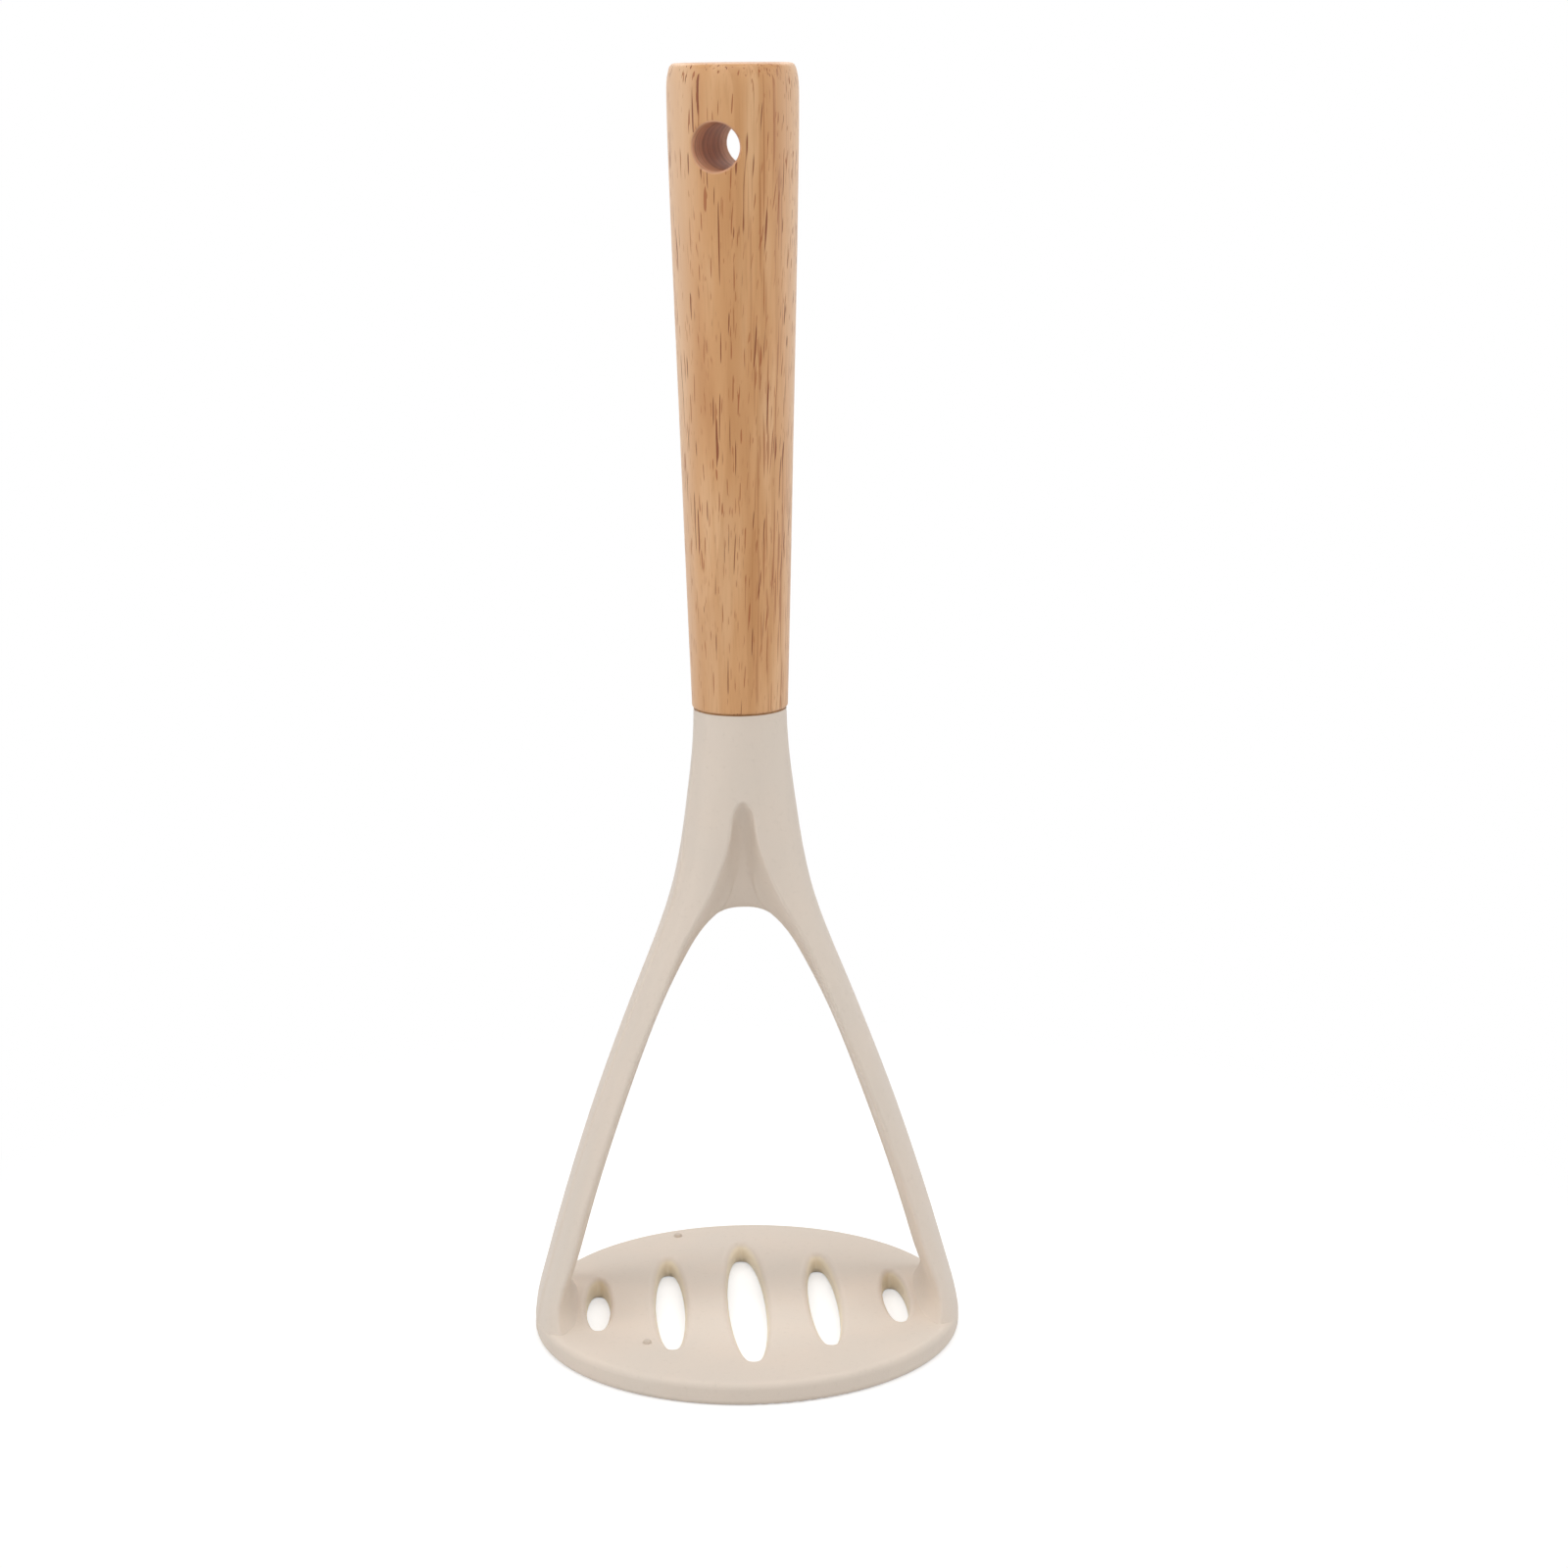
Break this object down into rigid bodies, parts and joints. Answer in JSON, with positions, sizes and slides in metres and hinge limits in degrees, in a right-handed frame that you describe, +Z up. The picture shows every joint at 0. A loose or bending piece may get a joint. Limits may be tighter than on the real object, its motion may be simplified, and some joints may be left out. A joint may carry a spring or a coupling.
{
  "type": "potato masher",
  "caption": "Hand potato masher: a round slotted silicone plate on an arched two-legged stem, with a turned wooden handle pierced near its top for hanging.",
  "frame": {"origin": "middle of the mashing plate's flat underside", "axes": "+Z up along the handle, X across the two legs, Y front to back along the plate's slots; -Y is the front"},
  "size_m": [0.084, 0.084, 0.245],
  "materials": {
    "beech_wood": "satin lacquer",
    "khaki_silicone": "matte",
    "nylon": "matte",
    "glue": "dull"
  },
  "bodies": {
    "root": {"wooden_handle": "beech_wood", "silicone_head": "khaki_silicone", "nylon_core": "nylon", "handle_glue": "glue"}
  },
  "joints": []
}
